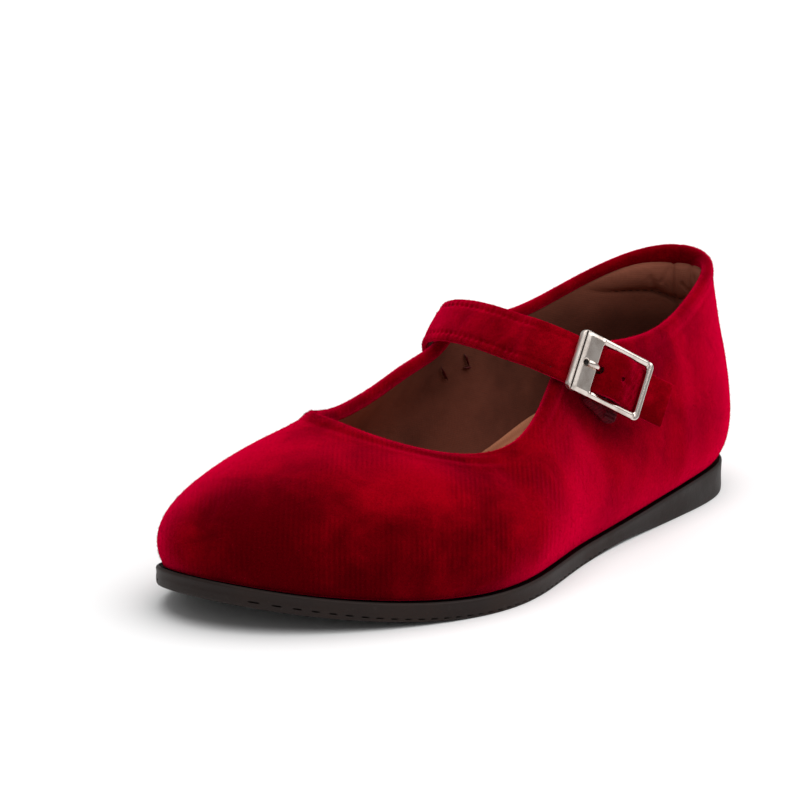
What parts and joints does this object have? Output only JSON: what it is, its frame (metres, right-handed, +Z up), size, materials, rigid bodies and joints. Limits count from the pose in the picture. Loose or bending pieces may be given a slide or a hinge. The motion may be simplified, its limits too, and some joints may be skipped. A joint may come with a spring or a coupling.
{
  "type": "mary jane shoe",
  "caption": "Child's flat velvet mary jane, left shoe, with a low wedge sole, open throat and a narrow instep strap in a fastened metal buckle.",
  "frame": {"origin": "middle of the shoe's footprint box, on the floor it stands on", "axes": "+X from heel to toe, +Y to the outside of the left foot, +Z up"},
  "size_m": [0.2058, 0.0806, 0.0656],
  "materials": {
    "velvet": "crimson velvet with a short pile",
    "lining": "brown woven lining, matte",
    "sole_rubber": "dark brown moulded rubber, satin",
    "nickel": "polished nickel plate",
    "elastic": "maroon elastic tape, slightly shiny"
  },
  "bodies": {
    "root": {"outsole": "sole_rubber", "insole": "lining", "upper": "velvet", "strap": "velvet", "buckle_frame": "nickel", "buckle_prong": "nickel", "buckle_tab": "elastic"}
  },
  "joints": []
}
